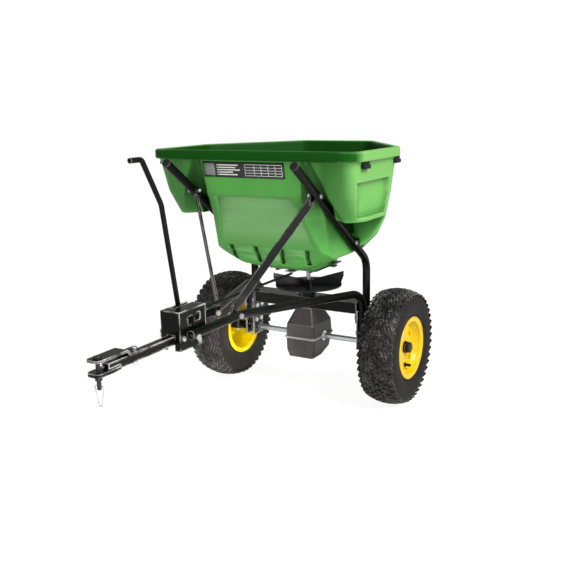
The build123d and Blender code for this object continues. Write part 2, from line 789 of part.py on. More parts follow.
# Gearbox: two moulded halves that part at the axle, the upper with a neck bolted under the cross channel
neck_top = cross_top - plate
upper_levels = ((axle_z, 0, 0, 0), (axle_z + gearbox_waist, 3, 0, 0), (gearbox_top, 22, 26, 26))
lower_levels = ((axle_z, 0, 0, 0), (axle_z - gearbox_waist, 2, 0, 15), (gearbox_bottom, 8, 4, 54))


def gearbox_outline(level, inset, lift=0):
    """Rounded rectangle of the gearbox at a level, drawn in at its sides, front and back."""
    height, side_in, front_in, back_in = level
    half = gearbox_half - side_in - inset
    front = gearbox_front - front_in - inset
    back = gearbox_front - back_in - inset
    with BuildSketch(Plane.XY.offset(height + lift)) as outline:
        with Locations((0, axle_y + (back - front) / 2)):
            RectangleRounded(2 * half, front + back, 2 * gearbox_wall - inset)
    return outline.sketch.face()


def gearbox_half_shell(levels, lift):
    """Hollow shell lofted through the levels, closed at the last one."""
    loft([gearbox_outline(level, 0) for level in levels], ruled=True)
    insides = [gearbox_outline(level, gearbox_wall) for level in levels[:-1]]
    insides.append(gearbox_outline(levels[-1], gearbox_wall, lift))
    loft(insides, ruled=True, mode=Mode.SUBTRACT)


def bevel_gear(seat, teeth, mate, turn, bore_r):
    """Straight bevel gear on the seat's Z axis, its pitch cone's tip at the seat's origin."""
    cone = atan2(teeth, mate)
    outer = gear_module * hypot(teeth, mate) / 2
    inner = outer - gear_face

    def root_point(distance):
        drop = dedendum * distance / outer
        return (distance * sin(cone) - drop * cos(cone), distance * cos(cone) + drop * sin(cone))

    with BuildSketch(Plane.XZ) as blank:
        with BuildLine():
            in_r, in_z = root_point(inner)
            out_r, out_z = root_point(outer)
            back_z = out_z + gear_back
            Polyline(
                (bore_r, in_z), (in_r, in_z), (out_r, out_z), (out_r, back_z), (bore_r, back_z), close=True
            )
        make_face()
    tooth_ends = []
    for distance in (inner, outer):
        scale = distance / outer
        along = Vector(sin(cone), 0, cos(cone))
        with BuildSketch(Plane(origin=along * distance, x_dir=(0, 1, 0), z_dir=along)) as tooth_end:
            with BuildLine():
                half = tooth_half * scale
                foot = (dedendum + slot_gap) * scale
                tip = addendum * scale
                foot_half = half + foot * tan(radians(tooth_flank))
                tip_half = half - tip * tan(radians(tooth_flank))
                Polyline(
                    (-foot_half, foot), (foot_half, foot), (tip_half, -tip), (-tip_half, -tip), close=True
                )
            make_face()
        tooth_ends.append(tooth_end.sketch.face())
    with BuildPart() as gear:
        revolve(blank.sketch, axis=Axis.Z)
        tooth = loft(tooth_ends, mode=Mode.PRIVATE)
        with PolarLocations(0, teeth, start_angle=turn):
            add(tooth)
    with BuildPart() as seated:
        with Locations(seat):
            add(gear.part)
    return seated


with BuildPart() as gearbox_upper:
    gearbox_half_shell(upper_levels, -gearbox_wall)
    bar_z(0, axle_y, gearbox_top - gearbox_wall, neck_top, bush_od / 2 + 2 * gearbox_wall)
    neck_ys = (axle_y - bush_od * 0.6, axle_y + bush_od * 0.6)
    block((-gearbox_half, gearbox_half), neck_ys, (neck_top - gearbox_flange, neck_top))
    bar_z(0, axle_y, gearbox_top - 2 * gearbox_wall, neck_top + 1, bush_od / 2, mode=Mode.SUBTRACT)
    bar_x(-gearbox_half - 1, gearbox_half + 1, axle_y, axle_z, bush_od / 2, mode=Mode.SUBTRACT)
    for _, side in sides:
        hole_z(side * neck_bolt_x, axle_y, neck_top + 1, neck_top - gearbox_flange - 1)
keep(gearbox_upper, "gearbox_upper")

with BuildPart() as gearbox_lower:
    gearbox_half_shell(lower_levels, gearbox_wall)
    bar_x(-gearbox_half - 1, gearbox_half + 1, axle_y, axle_z, bush_od / 2, mode=Mode.SUBTRACT)
keep(gearbox_lower, "gearbox_lower")

# Gearbox bushes: one on the axle at each side, one round the upright shaft
for name, side in sides:
    with BuildPart() as box_bush:
        bush_in = gearbox_half - 3 * gearbox_wall
        bush_out = gearbox_half + bush_flange
        bar_x(side * bush_in, side * bush_out, axle_y, axle_z, bush_od / 2)
        bar_x(side * gearbox_half, side * bush_out, axle_y, axle_z, bush_flange_d / 2)
        bar_x(side * (bush_in - 1), side * (bush_out + 1), axle_y, axle_z, axle_bore_r, mode=Mode.SUBTRACT)
    keep(box_bush, f"{name}_gearbox_bush")

with BuildPart() as shaft_bush:
    bush_zs = (gearbox_top - gearbox_wall, cross_top)
    bar_z(0, axle_y, *bush_zs, bush_od / 2)
    bar_z(0, axle_y, *bush_zs, shaft_d / 2 + run_gap, mode=Mode.SUBTRACT)
keep(shaft_bush, "shaft_bush")

with BuildPart() as gearbox_bolts:
    for _, side in sides:
        bolt_z(side * neck_bolt_x, axle_y, cross_top, neck_top - gearbox_flange)
keep(gearbox_bolts, "gearbox_bolts")

# Bevel gears: the ring on the axle and the pinion on the upright shaft, a pinion tooth in a ring gap
axle_seat = Plane((0, axle_y, axle_z), x_dir=(0, 0, 1), z_dir=(1, 0, 0))
shaft_seat = Plane((0, axle_y, axle_z), x_dir=(1, 0, 0), z_dir=(0, 0, 1))
ring_gear = bevel_gear(axle_seat, ring_teeth, pinion_teeth, 180 / ring_teeth, axle_d / 2)
keep(ring_gear, "ring_gear")
pinion = bevel_gear(shaft_seat, pinion_teeth, ring_teeth, 0, shaft_d / 2)
keep(pinion, "pinion_gear")

# Upright shaft: from the pinion through the spinner and the outlet plate into the hopper
shaft_foot = axle_z + axle_d + bolt_d
agitator_z = outlet_height + agitator_d * 4
with BuildPart() as shaft:
    bar_z(0, axle_y, shaft_foot, agitator_z + agitator_d * 1.5, shaft_d / 2)
    chamfer(shaft.edges().group_by(Axis.Z)[-1], shaft_d / 8)
    bar_x(-shaft_d, shaft_d, axle_y, agitator_z, agitator_d / 2, mode=Mode.SUBTRACT)
keep(shaft, "spinner_shaft")

# Agitator: cross rod through the shaft inside the hopper's outlet, its ends turned up
with BuildPart() as agitator:
    turn_up = agitator_d * 3
    bent_bar(
        ((-agitator_reach, axle_y, agitator_z + turn_up), (-agitator_reach, axle_y, agitator_z),
         (agitator_reach, axle_y, agitator_z), (agitator_reach, axle_y, agitator_z + turn_up)),
        agitator_d,
        agitator_d / 2,
    )
keep(agitator, "agitator")

# Spinner: moulded disc on a hub, with upright fins that rise towards the edge
with BuildPart() as spinner:
    disc_top = spinner_height + spinner_plate
    bar_z(0, axle_y, spinner_height, disc_top, spinner_d / 2)
    bar_z(0, axle_y, cross_top + bush_flange, disc_top + fin_low, spinner_hub_d / 2)
    for step in range(fin_count):
        turn = radians(360 / fin_count * (step + 0.35))
        out = Vector(cos(turn), sin(turn), 0)
        with BuildSketch(Plane((0, axle_y, disc_top), x_dir=out, z_dir=(out.Y, -out.X, 0))):
            with BuildLine():
                Polyline(
                    (spinner_hub_d * 0.3, -spinner_plate / 2),
                    (spinner_d / 2 - fin_thick, -spinner_plate / 2),
                    (fin_reach, fin_tall * 0.6),
                    (fin_reach, fin_tall),
                    (spinner_hub_d * 0.3, fin_low),
                    close=True,
                )
            make_face()
        extrude(amount=fin_thick / 2, both=True)
    bar_z(0, axle_y, cross_top, disc_top + fin_tall, shaft_d / 2, mode=Mode.SUBTRACT)
keep(spinner, "spinner")

# Axle: plain steel rod through brackets, gearbox and both hubs
hub_in = wheel_x - hub_length / 2
hub_end = wheel_x + hub_length / 2
axle_end = hub_end + axle_end_length
pin_x = -(hub_in + 2 * drive_pin_d)
with BuildPart() as axle:
    bar_x(-axle_end, axle_end, axle_y, axle_z, axle_d / 2)
    chamfer(axle.edges().filter_by(GeomType.CIRCLE), axle_d / 16)
    bar_z(pin_x, axle_y, axle_z - axle_d, axle_z + axle_d, drive_pin_d / 2, mode=Mode.SUBTRACT)
keep(axle, "axle")

# Drive pin: locks the right hub to the axle
with BuildPart() as drive_pin:
    pin_half = hub_od / 2 + drive_pin_d
    bar_z(pin_x, axle_y, axle_z - pin_half, axle_z + pin_half, drive_pin_d / 2)
keep(drive_pin, "drive_pin")

seat_r = bead_d / 2
flange_r = rim_flange_d / 2
bead_top = seat_r + bead_height
rim_half = rim_width / 2
bulge = tyre_width / 2
shoulder = bulge - tyre_shoulder_in
crown_r = tyre_od / 2
shoulder_r = crown_r - tyre_crown_drop
bulge_r = (bead_top + shoulder_r) / 2
disc_x = wheel_x + rim_disc_out
valve_z = axle_z - valve_circle / 2
bolt_turns = [radians(45 + 360 / rim_bolts * step) for step in range(rim_bolts)]
bolt_places = [Vector(cos(turn), sin(turn)) * rim_bolt_circle / 2 for turn in bolt_turns]
for name, side in sides:
    wheel_face = Plane((side * wheel_x, axle_y, axle_z), x_dir=(side, 0, 0), z_dir=(0, -side, 0))

    # Tyre: hollow carcass whose tread is cut into blocks by two staggered rows of slanting grooves
    with BuildPart() as tyre:
        with BuildSketch(wheel_face):
            with BuildLine():
                Line((-rim_half, bead_top), (-rim_half, seat_r))
                Line((-rim_half, seat_r), (tyre_wall - rim_half, seat_r))
                Line((tyre_wall - rim_half, seat_r), (tyre_wall - rim_half, bead_top))
                Line((rim_half - tyre_wall, bead_top), (rim_half - tyre_wall, seat_r))
                Line((rim_half - tyre_wall, seat_r), (rim_half, seat_r))
                Line((rim_half, seat_r), (rim_half, bead_top))
                for wall, top in ((0, crown_r), (tyre_wall, crown_r - tyre_wall - tread_depth)):
                    out, in_ = (shoulder - wall, shoulder_r - wall), (wall - shoulder, shoulder_r - wall)
                    ThreePointArc((rim_half - wall, bead_top), (bulge - wall, bulge_r), out)
                    ThreePointArc(out, (0, top), in_)
                    ThreePointArc(in_, (wall - bulge, bulge_r), (wall - rim_half, bead_top))
            make_face()
        revolve(axis=axle_line)
        with Locations(Plane((side * wheel_x, axle_y, axle_z), x_dir=(0, 0, 1), z_dir=(1, 0, 0))):
            for row in (-1, 1):
                with PolarLocations(crown_r, tread_lugs, start_angle=90 / tread_lugs * (row + 1)):
                    groove_place = (0, 0, row * (bulge / 2 + tread_depth))
                    with Locations(Location(groove_place, (row * tread_tilt, 0, 0))):
                        Box(5 * tread_depth, tread_groove, bulge - tread_depth, mode=Mode.SUBTRACT)
    keep(tyre, f"{name}_tyre")

    # Rim halves: two pressed steel dishes bolted face to face, each with a flange and a bead seat
    for half_name, way, metal in (("outer", 1, Side.LEFT), ("inner", -1, Side.RIGHT)):
        with BuildPart() as rim:
            with BuildSketch(wheel_face):
                with BuildLine():
                    Polyline(
                        (way * (rim_half + rim_sheet), flange_r),
                        (way * rim_half, bead_top),
                        (way * rim_half, seat_r),
                        (rim_disc_out + way * rim_drop, seat_r - rim_sheet),
                        (rim_disc_out, seat_r - rim_drop),
                        (rim_disc_out, hub_od / 2),
                    )
                    offset(amount=rim_sheet, side=metal)
                make_face()
            revolve(axis=axle_line)
            disc_xs = (side * disc_x, side * (disc_x + 2 * way * rim_sheet))
            for place in bolt_places:
                hole_x(*disc_xs, axle_y + place.X, axle_z + place.Y)
            bar_x(*disc_xs, axle_y, valve_z, valve_d / 2, mode=Mode.SUBTRACT)
        keep(rim, f"{name}_rim_{half_name}")

    # Bolts round the hub that hold the two halves together
    with BuildPart() as wheel_bolts:
        for place in bolt_places:
            bolt_ends = (side * (disc_x + rim_sheet), side * (disc_x - rim_sheet))
            bolt_x(*bolt_ends, axle_y + place.X, axle_z + place.Y)
    keep(wheel_bolts, f"{name}_rim_bolts")

    # Valve: rubber stem with a cap, through both discs
    with BuildPart() as valve:
        valve_tip = disc_x + rim_sheet + valve_length
        bar_x(side * (disc_x - 2 * rim_sheet), side * valve_tip, axle_y, valve_z, valve_d / 2)
        bar_x(side * (disc_x + rim_sheet), side * (disc_x + 2 * rim_sheet), axle_y, valve_z, valve_d * 0.8)
        valve_ends = valve.edges().filter_by(GeomType.CIRCLE).sort_by(Axis.X)
        fillet((valve_ends[0], valve_ends[-1]), valve_d / 8)
    keep(valve, f"{name}_valve")

    # Hub: steel tube welded through the discs, the left one with bushes and the right one pinned
    with BuildPart() as hub:
        bar_x(side * hub_in, side * hub_end, axle_y, axle_z, hub_od / 2)
        bore_r = hub_bush_od / 2 if side > 0 else axle_d / 2
        bar_x(side * (hub_in - 1), side * (hub_end + 1), axle_y, axle_z, bore_r, mode=Mode.SUBTRACT)
        if side < 0:
            bar_z(pin_x, axle_y, axle_z - hub_od, axle_z + hub_od, drive_pin_d / 2, mode=Mode.SUBTRACT)
    keep(hub, f"{name}_hub")

    # Axle cap: pressed over the axle's end
    with BuildPart() as cap:
        bar_x(side * (hub_end + slip_gap), side * (axle_end + axle_cap_wall), axle_y, axle_z, axle_cap_d / 2)
        fillet(cap.edges().sort_by(Axis.X)[-1 if side > 0 else 0], axle_cap_wall)
        bar_x(side * hub_end, side * axle_end, axle_y, axle_z, axle_d / 2, mode=Mode.SUBTRACT)
    keep(cap, f"{name}_axle_cap")

# Bushes pressed into both ends of the left hub, which turns freely on the axle
with BuildPart() as hub_bushes:
    for bush_xs in ((hub_in, hub_in + hub_bush_length), (hub_end - hub_bush_length, hub_end)):
        bar_x(*bush_xs, axle_y, axle_z, hub_bush_od / 2)
        bar_x(*bush_xs, axle_y, axle_z, axle_bore_r, mode=Mode.SUBTRACT)
keep(hub_bushes, "left_hub_bushes")

# Collars on the axle between the frame and the wheels
with BuildPart() as collars:
    for _, side in sides:
        collar_xs = (side * (out_x + bush_flange + slip_gap), side * (hub_in - slip_gap))
        bar_x(*collar_xs, axle_y, axle_z, bush_od * 0.6)
        bar_x(*collar_xs, axle_y, axle_z, axle_d / 2, mode=Mode.SUBTRACT)
keep(collars, "axle_collars")
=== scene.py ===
from math import cos, pi, radians, sin

import bmesh
import bpy
import numpy as np
from mathutils import Matrix, Vector
from mathutils.bvhtree import BVHTree


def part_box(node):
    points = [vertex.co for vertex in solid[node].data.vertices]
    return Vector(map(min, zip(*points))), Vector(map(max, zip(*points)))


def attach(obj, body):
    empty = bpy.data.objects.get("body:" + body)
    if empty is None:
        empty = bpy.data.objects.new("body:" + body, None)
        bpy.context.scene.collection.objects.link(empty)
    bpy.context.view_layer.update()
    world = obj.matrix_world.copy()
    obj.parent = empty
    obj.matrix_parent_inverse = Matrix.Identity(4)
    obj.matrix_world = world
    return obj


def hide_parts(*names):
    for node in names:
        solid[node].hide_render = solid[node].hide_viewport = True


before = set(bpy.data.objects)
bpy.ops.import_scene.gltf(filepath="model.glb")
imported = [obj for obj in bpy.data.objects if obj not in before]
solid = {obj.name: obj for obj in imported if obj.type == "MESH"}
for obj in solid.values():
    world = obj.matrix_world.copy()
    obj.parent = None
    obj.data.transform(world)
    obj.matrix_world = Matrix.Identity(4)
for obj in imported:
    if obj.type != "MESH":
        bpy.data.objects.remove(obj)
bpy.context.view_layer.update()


# HOPPER
# The bin is one blow-moulded shell of polyethylene, about 5 mm thick, with a hollow rolled rim. It hangs
# between the two sloping tubes on bolts, and its wings stand outside them.
axle_y = 0.3535
hopper_heights = (0.380, 0.396, 0.412, 0.440, 0.490, 0.543, 0.612, 0.702)
hopper_halves = (0.075, 0.080, 0.120, 0.180, 0.245, 0.283, 0.294, 0.300)
hopper_fronts = (0.094, 0.165, 0.205, 0.216, 0.238, 0.262, 0.296, 0.313)


def linear(hex_colour):
    """An sRGB hex colour as linear red, green, blue and alpha."""
    shares = [int(hex_colour[i:i + 2], 16) / 255 for i in (1, 3, 5)]
    return [c / 12.92 if c <= 0.04045 else ((c + 0.055) / 1.055) ** 2.4 for c in shares] + [1.0]


def add(tree, kind, settings=(), **inputs):
    """One node with its settings and its inputs, each a value, a socket or a node's first live output."""
    node = tree.nodes.new(kind)
    for name, value in dict(settings).items():
        setattr(node, name, value)
    for name, value in inputs.items():
        key = int(name[1:]) if name[0] == "i" and name[1:].isdigit() else name.replace("_", " ")
        if isinstance(value, bpy.types.Node):
            value = next(socket for socket in value.outputs if socket.enabled)
        if isinstance(value, bpy.types.NodeSocket):
            tree.links.new(value, node.inputs[key])
        else:
            node.inputs[key].default_value = value
    return node


def new_material(name, **surface):
    """A material with a Principled shader, and its tree, shader and Object coordinates."""
    material = bpy.data.materials.new(name)
    material.use_nodes = True
    tree = material.node_tree
    shader = tree.nodes["Principled BSDF"]
    for socket, value in surface.items():
        shader.inputs[socket.replace("_", " ")].default_value = value
    return material, tree, shader, add(tree, "ShaderNodeTexCoord").outputs["Object"]


def merged_copy(node, name):
    """A new piece with a CAD node's triangles merged into a closed skin."""
    mesh = solid[node].data.copy()
    mesh.name = name
    skin = bmesh.new()
    skin.from_mesh(mesh)
    bmesh.ops.remove_doubles(skin, verts=skin.verts, dist=1e-5)
    skin.to_mesh(mesh)
    skin.free()
    return place_piece(name, mesh)


def place_piece(name, mesh):
    """An object at the origin for a finished mesh."""
    piece = bpy.data.objects.new(name, mesh)
    bpy.context.scene.collection.objects.link(piece)
    return piece


def place_skin(name, skin):
    """An object at the origin for a finished bmesh, which is then freed."""
    mesh = bpy.data.meshes.new(name)
    skin.to_mesh(mesh)
    skin.free()
    return place_piece(name, mesh)


def settle(piece):
    """Turn a piece's modifiers into plain mesh."""
    shaped = piece.evaluated_get(bpy.context.evaluated_depsgraph_get())
    mesh = bpy.data.meshes.new_from_object(shaped)
    piece.modifiers.clear()
    piece.data = mesh


def dress(piece, material, smooth=True):
    """Give a piece its one material and its shading."""
    piece.data.materials.clear()
    piece.data.materials.append(material)
    piece.data.polygons.foreach_set("use_smooth", [smooth] * len(piece.data.polygons))


def ramp(value, edge, soft):
    """Rise from 0 to 1 across an edge, eased at both ends."""
    share = np.clip((value - edge) / soft + 0.5, 0, 1)
    return share * share * (3 - 2 * share)


hopper = merged_copy("hopper", "hopper_shell")
even = hopper.modifiers.new("even_skin", "REMESH")
even.mode = "VOXEL"
even.voxel_size = 0.0026
rounding = hopper.modifiers.new("soft_corners", "SMOOTH")
rounding.factor = 0.5
rounding.iterations = 14
settle(hopper)

spots = np.empty(len(hopper.data.vertices) * 3)
hopper.data.vertices.foreach_get("co", spots)
spots = spots.reshape(-1, 3)
across, ahead, height = np.abs(spots[:, 0]), axle_y - spots[:, 1], spots[:, 2].copy()
wall_reach = 0.025
front_line = np.interp(height, hopper_heights, hopper_fronts)
front_wall = ahead > front_line - wall_reach
side_wall = across > np.interp(height, hopper_heights, hopper_halves) - wall_reach

# Sunken panel on the front: wider and shallower downwards, so that it stands nearly upright
panel_foot, panel_fade, panel_top = 0.470, 0.478, 0.606
panel_heights, panel_halves = (panel_foot, 0.608), (0.142, 0.113)
panel = ramp(np.interp(height, panel_heights, panel_halves), across, soft=0.006)
panel = panel * ramp(height, panel_fade, soft=0.030) * ramp(panel_top, height, soft=0.006) * front_wall
spots[:, 1] += panel * np.interp(height, (panel_foot, panel_top), (0.002, 0.016))
# Nearly upright slots round the bowl's foot
slot_half, slot_lean, slot_depth = 0.0056, 0.12, 0.015
slot_low, slot_middle, slot_high = 0.421, 0.440, 0.463
for slot_x in (0.0385, 0.116):
    slot = ramp(slot_half, np.abs(across - slot_x - slot_lean * (height - slot_middle)), soft=0.003)
    slot = slot_depth * slot * ramp(height, slot_low, soft=0.006) * ramp(slot_high, height, soft=0.006)
    spots[:, 1] += slot * front_wall
# Wing sides, sunken below the band under the rim
side_low, side_high, side_back, side_margin, side_depth = 0.562, 0.650, 0.100, 0.024, 0.013
side_panel = ramp(height, side_low, soft=0.008) * ramp(side_high, height, soft=0.004)
side_panel = side_panel * ramp(ahead, side_back, soft=0.008)
side_panel *= ramp(front_line - side_margin, ahead, soft=0.006) * side_wall
spots[:, 0] -= np.sign(spots[:, 0]) * side_depth * side_panel
hopper.data.vertices.foreach_set("co", spots.ravel())
hopper.data.update()

triangle_budget = 190000
thinning = hopper.modifiers.new("fewer_faces", "DECIMATE")
thinning.ratio = min(1.0, triangle_budget / sum(len(face.vertices) - 2 for face in hopper.data.polygons))
settle(hopper)

# Share of each point that faces the hopper's inside, where its colour is painted darker as shade
points = len(hopper.data.vertices)
spots, faced = np.empty(points * 3), np.empty(points * 3)
hopper.data.vertices.foreach_get("co", spots)
hopper.data.vertex_normals.foreach_get("vector", faced)
above_bowl = (0, axle_y - 0.06, 0.80)
to_middle = np.array(above_bowl) - spots.reshape(-1, 3)
faced = faced.reshape(-1, 3)
inward = np.sum(to_middle * faced, axis=1) / np.linalg.norm(to_middle, axis=1)
inside_shade = ramp(inward, 0.15, soft=0.2) * ramp(0.70, faced[:, 2], soft=0.2)
hopper.data.attributes.new("inside_shade", "FLOAT", "POINT").data.foreach_set("value", inside_shade.astype(np.float32))

# Polyethylene: moulded against sandblasted steel, so it is satin with a faint grain and cloudy patches. Light
# and
# shade are painted into the colour: the sunken panel, drawn thin, is painted paler, the sides are painted paler
# as lit, and the rolled rim's double front, the wings' fronts, the hollows and the inside are painted dark as
# shade. Ridges and the rim's top carry painted highlights.
polyethylene, tree, shader, place = new_material("moulded_polyethylene", IOR=1.51)
cloud = add(tree, "ShaderNodeTexNoise", Vector=place, Scale=1000 / 90, Detail=3.0)
coat = add(tree, "ShaderNodeMix", {"data_type": "RGBA"}, i0=cloud, i6=linear("#42913a"), i7=linear("#5ba84a"))
spot = add(tree, "ShaderNodeSeparateXYZ", Vector=place).outputs
aside = add(tree, "ShaderNodeMath", {"operation": "ABSOLUTE"}, i0=spot["X"])
# Painted light: the sunken panel is painted paler
panel_edge = add(tree, "ShaderNodeMapRange", Value=spot["Z"], From_Min=panel_heights[0],
                 From_Max=panel_heights[1], To_Min=panel_halves[0], To_Max=panel_halves[1])
within = add(tree, "ShaderNodeMath", {"operation": "SUBTRACT"}, i0=panel_edge, i1=aside)
panel_light = add(tree, "ShaderNodeMapRange", Value=within, From_Min=-0.003, From_Max=0.003)
for socket, edge, full in (("Z", 0.462, 0.510), ("Z", 0.609, 0.603), ("Y", axle_y - 0.19, axle_y - 0.20)):
    panel_light = add(tree, "ShaderNodeMath", {"operation": "MULTIPLY"}, i0=panel_light, i1=add(
        tree, "ShaderNodeMapRange", Value=spot[socket], From_Min=edge, From_Max=full))
panel_light = add(tree, "ShaderNodeMath", {"operation": "MULTIPLY"}, i0=panel_light, i1=0.6)
# Painted shade on the front of the wings, outside the tubes
wing_front_shade = add(tree, "ShaderNodeMapRange", Value=aside, From_Min=0.195, From_Max=0.215)
for socket, edge, full in (("Z", 0.545, 0.560), ("Z", 0.704, 0.698), ("Y", axle_y - 0.235, axle_y - 0.250)):
    wing_front_shade = add(tree, "ShaderNodeMath", {"operation": "MULTIPLY"}, i0=wing_front_shade, i1=add(
        tree, "ShaderNodeMapRange", Value=spot[socket], From_Min=edge, From_Max=full))
wing_front_shade = add(tree, "ShaderNodeMath", {"operation": "MULTIPLY"}, i0=wing_front_shade, i1=add(
    tree, "ShaderNodeMapRange", Value=aside, From_Min=0.294, From_Max=0.285, To_Max=0.7))
# Painted light: both sides are painted paler, as if lit
side_light = add(tree, "ShaderNodeMapRange", Value=aside, From_Min=0.262, From_Max=0.290)
# Painted shade: the rolled rim's front is painted darker
rim_front_shade = add(tree, "ShaderNodeMath", {"operation": "MULTIPLY"}, i0=add(
    tree, "ShaderNodeMapRange", Value=spot["Z"], From_Min=0.699, From_Max=0.703), i1=add(
    tree, "ShaderNodeMapRange", Value=spot["Y"], From_Min=axle_y - 0.285, From_Max=axle_y - 0.310))
# Painted highlights on the ridges, and on the rim's top where it faces up
surface = add(tree, "ShaderNodeNewGeometry").outputs
ridge_highlight = add(tree, "ShaderNodeMapRange", Value=surface["Pointiness"], From_Min=0.52, From_Max=0.58, To_Max=0.4)
facing_up = add(tree, "ShaderNodeSeparateXYZ", Vector=surface["Normal"]).outputs["Z"]
rim_top_highlight = add(tree, "ShaderNodeMath", {"operation": "MULTIPLY"}, i0=add(
    tree, "ShaderNodeMapRange", Value=spot["Z"], From_Min=0.726, From_Max=0.732), i1=add(
    tree, "ShaderNodeMapRange", Value=facing_up, From_Min=0.25, From_Max=0.65, To_Max=0.75))
painted_highlight = add(tree, "ShaderNodeMath", {"operation": "MAXIMUM"}, i0=ridge_highlight, i1=rim_top_highlight)
# Painted shade: hollows are darkened by their occlusion
hollow = add(tree, "ShaderNodeAmbientOcclusion", {"samples": 8}, Distance=0.09).outputs["AO"]
hollow_shade = add(tree, "ShaderNodeMapRange", Value=hollow, From_Min=0.94, From_Max=0.50, To_Max=0.9)
# Painted shade over the inside of the bowl
inner_shade = add(tree, "ShaderNodeAttribute", {"attribute_name": "inside_shade"}).outputs["Fac"]
for share, tone in (
    (panel_light, "#8fbb80"), (wing_front_shade, "#2f6425"), (side_light, "#649c4d"), (rim_front_shade, "#0b4607"), (painted_highlight, "#b4dfa2"),
    (hollow_shade, "#1d4d15"), (inner_shade, "#0a4207"),
):
    coat = add(tree, "ShaderNodeMix", {"data_type": "RGBA"}, i0=share, i6=coat, i7=linear(tone))
tree.links.new(coat.outputs[2], shader.inputs["Base Color"])
dull = add(tree, "ShaderNodeMath", {"operation": "MAXIMUM"}, i0=inner_shade, i1=rim_front_shade)
tree.links.new(add(tree, "ShaderNodeMapRange", Value=dull, To_Min=0.28, To_Max=0.08).outputs[0],
               shader.inputs["Specular IOR Level"])
grain = add(tree, "ShaderNodeTexNoise", Vector=place, Scale=1000 / 1.8, Detail=2.0)
tree.links.new(add(tree, "ShaderNodeMapRange", Value=cloud, To_Min=0.38, To_Max=0.56).outputs[0],
               shader.inputs["Roughness"])
tree.links.new(add(tree, "ShaderNodeBump", Height=grain, Distance=0.0003, Strength=0.45).outputs[0],
               shader.inputs["Normal"])
dress(hopper, polyethylene)
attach(hopper, "frame")
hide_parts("hopper")


# SETTING CHART
# A stuck-on film on the front under the rim, printed with a plain chart: a grey field, bars and a ruled table.
chart_left, chart_right, chart_low, chart_high = -0.142, 0.104, 0.657, 0.697
film_cell, well_ahead = 0.012, -0.5
front_skin = BVHTree.FromPolygons([v.co for v in hopper.data.vertices],
                                  [tuple(face.vertices) for face in hopper.data.polygons])


def printed_sheet(name, fields, lift, thickness):
    """Thin sheets over the hopper's front, each field given as left, right, low and high."""
    sheet = bmesh.new()
    for left, right, low, high in fields:
        columns = max(1, round((right - left) / film_cell))
        rows = max(1, round((high - low) / film_cell))
        grid = []
        for row in range(rows + 1):
            for column in range(columns + 1):
                x, z = left + (right - left) * column / columns, low + (high - low) * row / rows
                spot = front_skin.ray_cast(Vector((x, well_ahead, z)), Vector((0, 1, 0)))[0]
                grid.append(sheet.verts.new((x, spot.y - lift, z)))
        for row in range(rows):
            for column in range(columns):
                corner = row * (columns + 1) + column
                sheet.faces.new([grid[corner + i] for i in (0, 1, columns + 2, columns + 1)])
    piece = place_skin(name, sheet)
    body = piece.modifiers.new("film_thickness", "SOLIDIFY")
    body.thickness = thickness
    body.offset = 0
    settle(piece)
    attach(piece, "frame")
    return piece


# Vinyl film: calendered and printed, smooth with a soft sheen, rubbed grey in places.
film_ink, tree, shader, place = new_material("printed_vinyl_black", IOR=1.53)
scuff = add(tree, "ShaderNodeTexNoise", Vector=place, Scale=1000 / 14, Detail=5.0, Roughness=0.65)
ink = add(tree, "ShaderNodeMix", {"data_type": "RGBA"}, i0=scuff, i6=linear("#0d0e0d"), i7=linear("#252623"))
tree.links.new(ink.outputs[2], shader.inputs["Base Color"])
tree.links.new(add(tree, "ShaderNodeMapRange", Value=scuff, To_Min=0.28, To_Max=0.45).outputs[0],
               shader.inputs["Roughness"])
films = {}
for name, low_tone, high_tone in (("white", "#cfd2c8", "#f2f3ee"), ("grey", "#6d706b", "#858983")):
    films[name], tree, shader, place = new_material("printed_vinyl_" + name, Roughness=0.4, IOR=1.53)
    scuff = add(tree, "ShaderNodeTexNoise", Vector=place, Scale=1000 / 9, Detail=4.0)
    ink = add(tree, "ShaderNodeMix", {"data_type": "RGBA"}, i0=scuff, i6=linear(low_tone), i7=linear(high_tone))
    tree.links.new(ink.outputs[2], shader.inputs["Base Color"])

film_size = {"lift": 0.0008, "thickness": 0.0006}
print_size = {"lift": 0.0014, "thickness": 0.0004}
dress(printed_sheet("chart_film", [(chart_left, chart_right, chart_low, chart_high)], **film_size), film_ink)
dress(printed_sheet("chart_grey_field", [(-0.138, -0.105, 0.661, 0.693)], **print_size), films["grey"])
bar_left, bar_low, bar_high, bar_pitch = -0.098, 0.6875, 0.6905, 0.0062
bars = [(bar_left, bar_left + length, bar_low - bar_pitch * i, bar_high - bar_pitch * i)
        for i, length in enumerate((0.066, 0.058, 0.071, 0.049, 0.062))]
table_left, table_right, table_low, table_high, rule = -0.012, 0.098, 0.662, 0.6915, 0.0012
table_lines = [(table_left, table_right, z, z + rule) for z in (table_low, 0.669, 0.676, 0.683, 0.6905)]
table_lines += [(x, x + rule, table_low, table_high)
                for x in (table_left, 0.016, 0.0365, 0.057, 0.0775, 0.0970)]
dress(printed_sheet("chart_print", bars + table_lines, **print_size), films["white"])


# RIM PEGS
# Small moulded black pegs under the rim. They are pushed into the shell.
# Black ABS: moulded, satin, with a fine spark grain and handling marks that are a little paler.
black_abs, tree, shader, place = new_material("moulded_black_abs", IOR=1.54, Specular_IOR_Level=0.18)
marks = add(tree, "ShaderNodeTexNoise", Vector=place, Scale=1000 / 35, Detail=4.0)
tint = add(tree, "ShaderNodeMix", {"data_type": "RGBA"}, i0=marks, i6=linear("#0d0d0e"), i7=linear("#1d1d1e"))
tree.links.new(tint.outputs[2], shader.inputs["Base Color"])
tree.links.new(add(tree, "ShaderNodeMapRange", Value=marks, To_Min=0.36, To_Max=0.54).outputs[0],
               shader.inputs["Roughness"])
grain = add(tree, "ShaderNodeTexNoise", Vector=place, Scale=1000 / 1.6, Detail=2.0)
tree.links.new(add(tree, "ShaderNodeBump", Height=grain, Distance=0.0002, Strength=0.5).outputs[0],
               shader.inputs["Normal"])

